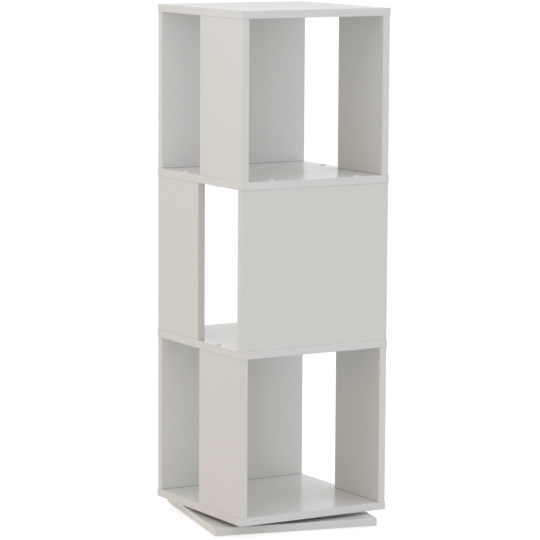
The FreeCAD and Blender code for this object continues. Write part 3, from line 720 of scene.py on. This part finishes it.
zinc_screws = metal_finish("zinc_plating", ZINC, dull=0.26, grain_size=0.35 * MM)[0]
upper_boxes = solids_in("upper_bearing_screws")
plate_screw = pan_head_screw(upper_boxes[0][1].z - upper_boxes[0][0].z - PAN_HEAD_HEIGHT,
                             zinc_screws)
places = [(middle(low, high, high.z - PAN_HEAD_HEIGHT),
           (0.0, 0.0, BASE_TURN + step * LOWER_SCREW_TURN))
          for step, (low, high) in enumerate(solids_in("lower_bearing_screws"))]
set_down("lower_plate_screws", plate_screw, places, zinc_screws, "base",
         "lower_bearing_screws")
places = [(middle(low, high, low.z + PAN_HEAD_HEIGHT), (math.pi, 0.0, step * UPPER_SCREW_TURN))
          for step, (low, high) in enumerate(upper_boxes)]
set_down("upper_plate_screws", plate_screw, places, zinc_screws, "tower",
         "upper_bearing_screws")


# ---------------------------------------------------------------------------------------------
# Bearing balls.  A ring of hardened and polished steel balls, each in its own window of the
# cage; they roll in the tracks of the two plates under a film of grease that dulls them.

POLISHED_STEEL = (0.62, 0.62, 0.62, 1)

ball_boxes = solids_in("bearing_balls")
ball_low, ball_high = ball_boxes[0]
ball_ring, given, result = new_tree("ball_ring", Count="Int", Circle_Radius="Float",
                                    Ball_Radius="Float", Height="Float", Finish="Material")
circle = add(ball_ring, "GeometryNodeMeshCircle", Vertices=given["Count"],
             Radius=given["Circle Radius"])
lift = add(ball_ring, "ShaderNodeCombineXYZ", Z=given["Height"])
raised = add(ball_ring, "GeometryNodeSetPosition", Geometry=circle.outputs[0],
             Offset=lift.outputs[0])
ball = add(ball_ring, "GeometryNodeMeshIcoSphere", Radius=given["Ball Radius"], Subdivisions=4)
copies = add(ball_ring, "GeometryNodeInstanceOnPoints", Points=raised.outputs[0],
             Instance=ball.outputs[0])
end_tree(ball_ring, copies.outputs[0], given["Finish"], result)

ball_steel = metal_finish("polished_steel", POLISHED_STEEL, dull=0.12, grain_size=0.3 * MM,
                          patina=0.2)[0]
balls = new_item("greased_balls", bpy.data.meshes.new("greased_balls"))
grow(balls, ball_ring, Count=len(ball_boxes), Circle_Radius=BALL_CIRCLE,
     Ball_Radius=(ball_high.z - ball_low.z) / 2, Height=(ball_low.z + ball_high.z) / 2,
     Finish=ball_steel)
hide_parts("bearing_balls")
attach(balls, "ball_ring")


# ---------------------------------------------------------------------------------------------
# Ball cage.  A flat ring moulded of natural nylon, with a window that keeps each ball at its
# distance from the next; it floats between the bearing plates and is stained by the grease.

NYLON = (0.62, 0.58, 0.48, 1)
NYLON_STAINED = (0.34, 0.28, 0.18, 1)
NYLON_DULL = (0.25, 0.55)
NYLON_STAINS = 120.0            # in a metre
NYLON_SOAKED = (-0.6, 1.2)      # share of the stain where the grease is thinnest and thickest
NYLON_DEPTH = 0.03 * MM

material, tree, shader = new_finish("nylon")
stain = add(tree, "ShaderNodeTexNoise", Vector=place_on(tree), Scale=NYLON_STAINS, Detail=4.0)
soaked = spread(tree, stain.outputs["Fac"], *NYLON_SOAKED)
paint(tree, shader, blend(tree, soaked, NYLON, NYLON_STAINED),
      spread(tree, stain.outputs["Fac"], *NYLON_DULL))
relief(tree, shader, stain.outputs["Fac"], NYLON_DEPTH, strength=0.5)
cover_with("ball_cage", material)


# ---------------------------------------------------------------------------------------------
# Bottom board, and the edge bands of all the boards of the tower.  The same faced chipboard as
# the base plate, screwed to the upper bearing plate, and the same glued strips of plastic.

melamine_board("bottom_board", seed=1.0)
board_bands = band_finish("edge_band", turn=0.0)
for name in nodes:
    if name.endswith(("board_edging", "shelf_edging")):
        cover_with(name, board_bands)


# ---------------------------------------------------------------------------------------------
# Upright panels and their edge bands.  Nine pieces of the same board: one full and two half
# panels a storey, banded on their upright edges, with sawn ends that stand between the boards.

for step, name in enumerate(sorted(name for name in nodes if name.endswith("_panel"))):
    melamine_board(name, seed=2.0 + step)

for storey in ("lower", "middle", "upper"):
    ends = [corner.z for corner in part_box(f"{storey}_left_panel")]
    panel_bands = band_finish(f"{storey}_panel_band", turn=0.0, ends=ends)
    for name in nodes:
        if name.startswith(storey) and name.endswith("_panel_edging"):
            cover_with(name, panel_bands)


# ---------------------------------------------------------------------------------------------
# Shelves and top board.  Faced board again, drilled for the screws and the dowels.  The top is
# of duller sheet than the shelves and the panels.

TOP_DULL = (0.52, 0.60)

melamine_board("lower_shelf", seed=12.0)
melamine_board("upper_shelf", seed=13.0)
melamine_board("top_board", seed=14.0, dull=TOP_DULL)


# ---------------------------------------------------------------------------------------------
# Connector screws.  Zinc-plated steel, 50 mm long: a flat head let into the board, a plain neck
# through it, and a coarse thread in the end of the panel.  Driven with a hexagon key.

HEAD = 5.0 * MM
HEAD_HEIGHT = 3.0 * MM
NECK = 3.5 * MM
NECK_END = -16.0 * MM
SCREW_LENGTH = 50.0 * MM
SCREW_THREAD = 3.1 * MM
SCREW_CORE = 2.2 * MM
SCREW_PITCH = 3.0 * MM
SOCKET_WIDTH = 4.0 * MM
SOCKET_DEPTH = 2.6 * MM
SOCKET_TAPER = 0.97
HEAD_BEVEL = 0.25 * MM
HEAD_FILLET = 0.3 * MM
NECK_TAPER = 0.8 * MM
SHANK_IN_NECK = 0.4 * MM        # the shank starts this far up inside the neck
SCREW_POINT = 3.5 * MM
SCREW_TIP = 1.2 * MM
SCREW_TURN = 1.3                # radians by which each screw stops further round than the last

# The head starts at the rim of the flat round its socket, and the neck ends in a short taper.
head_profile = [(HEAD - HEAD_BEVEL, 0.0), (HEAD, -HEAD_BEVEL),
                (HEAD, -HEAD_HEIGHT + HEAD_FILLET), (HEAD - HEAD_FILLET, -HEAD_HEIGHT),
                (NECK + HEAD_FILLET, -HEAD_HEIGHT), (NECK, -HEAD_HEIGHT - HEAD_FILLET),
                (NECK, NECK_END + NECK_TAPER), (SCREW_CORE, NECK_END), (0.0, NECK_END)]
screw_head = turned_with_disc(head_profile, columns=36)
corner = SOCKET_WIDTH / math.sqrt(3)
hexagon = [(corner * math.cos(math.pi / 3 * step), corner * math.sin(math.pi / 3 * step))
           for step in range(6)]
recess(screw_head, hexagon, 0.0, SOCKET_DEPTH, SOCKET_TAPER)
screw_shank = threaded_shank(SCREW_CORE, SCREW_THREAD, SCREW_PITCH, NECK_END + SHANK_IN_NECK,
                             -SCREW_LENGTH, SCREW_POINT, SCREW_TIP, columns=22,
                             finish=zinc_screws)
connector = master_of("connector_screw", screw_head, screw_shank)

BOARDS = ("bottom_board", "lower_shelf", "upper_shelf", "top_board")


def ways_up(name, board):
    """Place of each fastener in a node, at the face of the board that it is driven in from, and
    its tilt: upright from the top face, and turned right over from underneath."""
    board_low, board_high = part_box(board)
    found = []
    for low, high in solids_in(name):
        from_top = (low.z + high.z) / 2 < (board_low.z + board_high.z) / 2
        face = board_high.z if from_top else board_low.z
        found.append((middle(low, high, face), 0.0 if from_top else math.pi))
    return found


for board in BOARDS:
    places = [(place, (tilt, 0.0, step * SCREW_TURN))
              for step, (place, tilt) in enumerate(ways_up(f"{board}_screws", board))]
    set_down(f"{board}_connector_screws", connector, places, zinc_screws, "tower",
             f"{board}_screws")


# ---------------------------------------------------------------------------------------------
# Dowels.  Fluted beech pins, 8 by 30 mm with chamfered ends, glued beside the screws to keep
# board and panel in line.

DOWEL = 4.0 * MM
DOWEL_LENGTH = 30.0 * MM
DOWEL_CHAMFER = 0.8 * MM
DOWEL_IN_BOARD = 11.0 * MM
FLUTES = 14
FLUTE_DEPTH = 0.22 * MM
COLUMNS_A_FLUTE = 4
PIN_ROWS = 5                    # rows of faces: end, chamfer, fluted side, chamfer, end
BEECH = (0.66, 0.46, 0.29, 1)
BEECH_RAY = (0.47, 0.29, 0.16, 1)
BEECH_DULL = (0.55, 0.8)
BEECH_DEPTH = 0.05 * MM
FIBRES = 1400.0                 # in a metre across the grain
FIBRE_SHARE = 0.5
FIBRE_STRETCH = 0.08            # along the grain there are fewer by this
RAYS = 2200.0
RAY_WIDTH = 0.22
RAY_SHARE = 0.7

# A fluted pin: a sheet rolled into a tube, drawn in at the ends and along the flutes.  Rows of
# points are counted from 0, on the axis, and from_end is 0, 1 or 2 at both ends alike.
fluted, given, result = new_tree(
    "fluted_pin", Radius="Float", Bottom="Float", Length="Float", Chamfer="Float",
    Flutes="Int", Flute_Depth="Float", Finish="Material")
plus, minus, times = sums_in(fluted)
sheet, around, along = flat_sheet(fluted, times(given["Flutes"], COLUMNS_A_FLUTE), PIN_ROWS)
angle = times(around, 2 * math.pi)
row = calc(fluted, "ROUND", times(along, PIN_ROWS))
from_end = calc(fluted, "MINIMUM", row, minus(PIN_ROWS, row))
past_chamfer = calc(fluted, "GREATER_THAN", from_end, 1.5)
not_axis = calc(fluted, "GREATER_THAN", from_end, 0.5)
upper = calc(fluted, "GREATER_THAN", row, PIN_ROWS / 2)
flutes = calc(fluted, "COSINE", times(angle, given["Flutes"]))
wave = calc(fluted, "MULTIPLY_ADD", flutes, 0.5, 0.5)
flute = times(times(wave, given["Flute Depth"]), past_chamfer)
drawn_in = times(given["Chamfer"], minus(1.0, past_chamfer))
radius = times(minus(minus(given["Radius"], drawn_in), flute), not_axis)
inset = times(given["Chamfer"], past_chamfer)
top_rows = times(upper, minus(given["Length"], times(inset, 2.0)))
height = plus(plus(given["Bottom"], inset), top_rows)
roll_up(fluted, sheet, angle, radius, height, given["Finish"], result)

beech, tree, shader = new_finish("beech")
lengthwise = add(tree, "ShaderNodeMapping", Vector=place_on(tree), Scale=(1, 1, FIBRE_STRETCH))
fibres = add(tree, "ShaderNodeTexNoise", Vector=lengthwise.outputs[0], Scale=FIBRES, Detail=3.0)
rays = add(tree, "ShaderNodeTexVoronoi", Vector=lengthwise.outputs[0], Scale=RAYS)
fleck = calc(tree, "LESS_THAN", rays.outputs["Distance"], RAY_WIDTH)
wood = blend(tree, calc(tree, "MULTIPLY", fibres.outputs["Fac"], FIBRE_SHARE), BEECH, BEECH_RAY)
paint(tree, shader, blend(tree, calc(tree, "MULTIPLY", fleck, RAY_SHARE), wood, BEECH_RAY),
      spread(tree, fibres.outputs["Fac"], *BEECH_DULL))
relief(tree, shader, fibres.outputs["Fac"], BEECH_DEPTH, strength=0.6)

pin = shape_of(fluted, Radius=DOWEL, Bottom=DOWEL_IN_BOARD - DOWEL_LENGTH, Length=DOWEL_LENGTH,
               Chamfer=DOWEL_CHAMFER, Flutes=FLUTES, Flute_Depth=FLUTE_DEPTH, Finish=beech)
dowel = master_of("dowel", pin)

for board in BOARDS:
    board_low, board_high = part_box(board)
    places = []
    for low, high in solids_in(f"{board}_dowels"):
        below = (low.z + high.z) / 2 < (board_low.z + board_high.z) / 2
        face = high.z - DOWEL_IN_BOARD if below else low.z + DOWEL_IN_BOARD
        places.append((middle(low, high, face), (0.0 if below else math.pi, 0.0, 0.0)))
    set_down(f"{board}_fluted_dowels", dowel, places, beech, "tower", f"{board}_dowels")


# ---------------------------------------------------------------------------------------------
# Screw covers.  White plastic buttons with a soft shoulder, a slightly crowned face and the mark
# of the moulding gate, pressed by a peg into the sockets of the screws.  The top board is looked
# down on, so its screws have thin discs stuck over them instead.

COVER = (0.86, 0.86, 0.855, 1)
COVER_SHADE = (0.83, 0.83, 0.82, 1)
COVER_CLOUDS = 260.0            # patches of the two whites in a metre
COVER_DULL = (0.29, 0.38)
COVER_RELIEF = 0.02 * MM
COVER_RADIUS = 6.0 * MM
COVER_RISE = 1.8 * MM
COVER_SIDE = 1.2 * MM           # height of the upright side
COVER_SHOULDER = 0.5 * MM
COVER_CROWN = 0.02 * MM         # fall of the face from its middle to half way out
COVER_PEG = 1.9 * MM
COVER_PEG_LENGTH = 2.3 * MM
COVER_PEG_ROOT = 0.2 * MM
COVER_PEG_BEVEL = 0.4 * MM
GATE_MARK = 0.6 * MM
GATE_FLOOR = 0.8                # width of the mark at its floor, as a share
GATE_DEPTH = 0.12 * MM
DISC_RADIUS = 6.5 * MM
DISC_THICKNESS = 0.4 * MM
DISC_SHOULDER = 0.15 * MM

shoulder_start = (COVER_RADIUS - COVER_SHOULDER, COVER_SIDE + COVER_SHOULDER)
shoulder = round_profile(shoulder_start, (COVER_RADIUS, COVER_SIDE), steps=6)
gate_floor = COVER_RISE - GATE_DEPTH
button_profile = [(0.0, gate_floor), (GATE_MARK * GATE_FLOOR, gate_floor),
                  (GATE_MARK, COVER_RISE), (COVER_RADIUS / 2, COVER_RISE - COVER_CROWN)]
button_profile += shoulder
button_profile += [(COVER_RADIUS, 0.0), (COVER_PEG + COVER_PEG_ROOT, 0.0),
                   (COVER_PEG, -COVER_PEG_ROOT), (COVER_PEG, -COVER_PEG_LENGTH + COVER_PEG_BEVEL),
                   (COVER_PEG - COVER_PEG_BEVEL, -COVER_PEG_LENGTH), (0.0, -COVER_PEG_LENGTH)]
button = master_of("button_cover", turned(button_profile, columns=44))

disc_edge = round_profile((DISC_RADIUS - DISC_SHOULDER, DISC_THICKNESS),
                          (DISC_RADIUS, DISC_THICKNESS - DISC_SHOULDER), steps=4)
disc_profile = [(0.0, DISC_THICKNESS)] + disc_edge + [(DISC_RADIUS, 0.0), (0.0, 0.0)]
disc = master_of("disc_cover", turned(disc_profile, columns=56))

cover_plastic, tree, shader = new_finish("cover_plastic")
clouds = add(tree, "ShaderNodeTexNoise", Vector=place_on(tree), Scale=COVER_CLOUDS, Detail=3.0)
paint(tree, shader, blend(tree, clouds.outputs["Fac"], COVER, COVER_SHADE),
      spread(tree, clouds.outputs["Fac"], *COVER_DULL))
relief(tree, shader, clouds.outputs["Fac"], COVER_RELIEF, strength=0.3)

for board, cover in (("lower_shelf", button), ("upper_shelf", button), ("top_board", disc)):
    places = [(place, (tilt, 0.0, 0.0)) for place, tilt in ways_up(f"{board}_screws", board)]
    set_down(f"{board}_covers", cover, places, cover_plastic, "tower", f"{board}_screw_caps",
             smooth=50)


# ---------------------------------------------------------------------------------------------
# Camera.  A long lens a little above the top board and to the left of the open front, tilted
# down to the middle of the cabinet.

PICTURE_WIDTH = 540
FOCAL_LENGTH = 2949.764         # in widths of one picture point
CAMERA_PLACE = Vector((-3.11763, -5.23196, 1.33827))
CAMERA_TURN = math.radians(-30.759)
CAMERA_TILT = math.radians(-7.650)
CAMERA_ROLL = math.radians(0.335)

camera = new_item("camera", bpy.data.cameras.new("camera"))
bpy.context.scene.camera = camera
camera.data.sensor_width = 36.0
camera.data.lens = camera.data.sensor_width * FOCAL_LENGTH / PICTURE_WIDTH
camera.data.clip_end = 100.0
camera.matrix_world = (Matrix.Translation(CAMERA_PLACE) @ Matrix.Rotation(CAMERA_TURN, 4, "Z")
                       @ Matrix.Rotation(math.pi / 2 + CAMERA_TILT, 4, "X")
                       @ Matrix.Rotation(CAMERA_ROLL, 4, "Z"))


# ---------------------------------------------------------------------------------------------
# Studio.  A pale floor that looks white and keeps the shadow of the cabinet, a surround that
# looks white and lights each side in its own pale tint, and two square lamps: a large one
# overhead and a small one close to the left side.

FLOOR_BOUNCE = (0.55, 0.55, 0.55, 1)
FLOOR_LIT = 0.18                # the floor is a lit table, so it is pale close to the cabinet too
FLOOR_SEEN = (0.40, 0.40, 0.40, 1)
FLOOR_GLOW = 0.75
SURROUND = {                    # light of the surround from each side, by axis and direction
    "left": (0, -1, (0.74, 0.50, 0.25)),
    "right": (0, 1, (0.90, 0.92, 0.92)),
    "front": (1, -1, (0.765, 0.80, 0.80)),
    "back": (1, 1, (1.00, 1.00, 0.95)),
    "above": (2, 1, (0.88, 0.88, 0.89)),
}


def looked_at(tree):
    """1 for a ray from the camera, also one that has come by way of a gloss or a clear piece."""
    rays = add(tree, "ShaderNodeLightPath")
    return calc(tree, "MAXIMUM", rays.outputs["Is Camera Ray"],
                calc(tree, "MAXIMUM", rays.outputs["Is Glossy Ray"],
                     rays.outputs["Is Transmission Ray"]))


bpy.ops.mesh.primitive_circle_add(vertices=96, radius=60.0, fill_type="NGON")
floor = bpy.context.object
floor.name = "floor"
material, tree, shader = new_finish("floor")
shader.inputs["Base Color"].default_value = FLOOR_BOUNCE
shader.inputs["Roughness"].default_value = 0.9
shader.inputs["Emission Color"].default_value = (1, 1, 1, 1)
shader.inputs["Emission Strength"].default_value = FLOOR_LIT
glow = add(tree, "ShaderNodeEmission", Color=(1, 1, 1, 1), Strength=FLOOR_GLOW)
plain = add(tree, "ShaderNodeBsdfDiffuse", Color=FLOOR_SEEN)
both = add(tree, "ShaderNodeAddShader", _0=glow.outputs[0], _1=plain.outputs[0])
choice = add(tree, "ShaderNodeMixShader", _0=looked_at(tree), _1=shader.outputs[0],
             _2=both.outputs[0])
tree.links.new(choice.outputs[0], tree.nodes["Material Output"].inputs["Surface"])
floor.data.materials.append(material)

world = bpy.data.worlds.new("surround")
bpy.context.scene.world = world
world.use_nodes = True
tree = world.node_tree
soft = tree.nodes["Background"]
outwards = add(tree, "ShaderNodeTexCoord").outputs["Generated"]
way = add(tree, "ShaderNodeSeparateXYZ", Vector=outwards)
light = (0.0, 0.0, 0.0)
for axis, side, colour in SURROUND.values():
    towards = calc(tree, "MAXIMUM", calc(tree, "MULTIPLY", way.outputs[axis], side), 0.0)
    share = calc(tree, "MULTIPLY", towards, towards)
    spread_out = add(tree, "ShaderNodeCombineXYZ", X=share, Y=share, Z=share)
    light = add(tree, "ShaderNodeVectorMath", {"operation": "MULTIPLY_ADD"}, _0=colour,
                _1=spread_out.outputs[0], _2=light).outputs[0]
tree.links.new(light, soft.inputs["Color"])
white = add(tree, "ShaderNodeBackground", Color=(1, 1, 1, 1), Strength=1.0)
choice = add(tree, "ShaderNodeMixShader", _0=looked_at(tree), _1=soft.outputs[0],
             _2=white.outputs[0])
tree.links.new(choice.outputs[0], tree.nodes["World Output"].inputs["Surface"])

# Each lamp: its place, the point it is turned to, the size of its square, its power and colour.
LAMPS = {
    "overhead": ((0.0, -0.5, 4.5), (0.0, 0.0, 0.55), 3.0, 18.5, (0.74, 0.87, 1.0)),
    "left_side": ((-0.85, -0.32, 1.35), (-0.17, -0.12, 1.0), 0.5, 1.35, (0.60, 0.80, 1.0)),
}
for name, (place, aim, size, power, colour) in LAMPS.items():
    data = bpy.data.lights.new(name, "AREA")
    data.shape = "SQUARE"
    data.size = size
    data.energy = power
    data.color = colour
    lamp = new_item(name, data)
    lamp.location = place
    lamp.rotation_euler = (Vector(aim) - Vector(place)).to_track_quat("-Z", "Y").to_euler()

bpy.context.scene.view_settings.view_transform = "Standard"
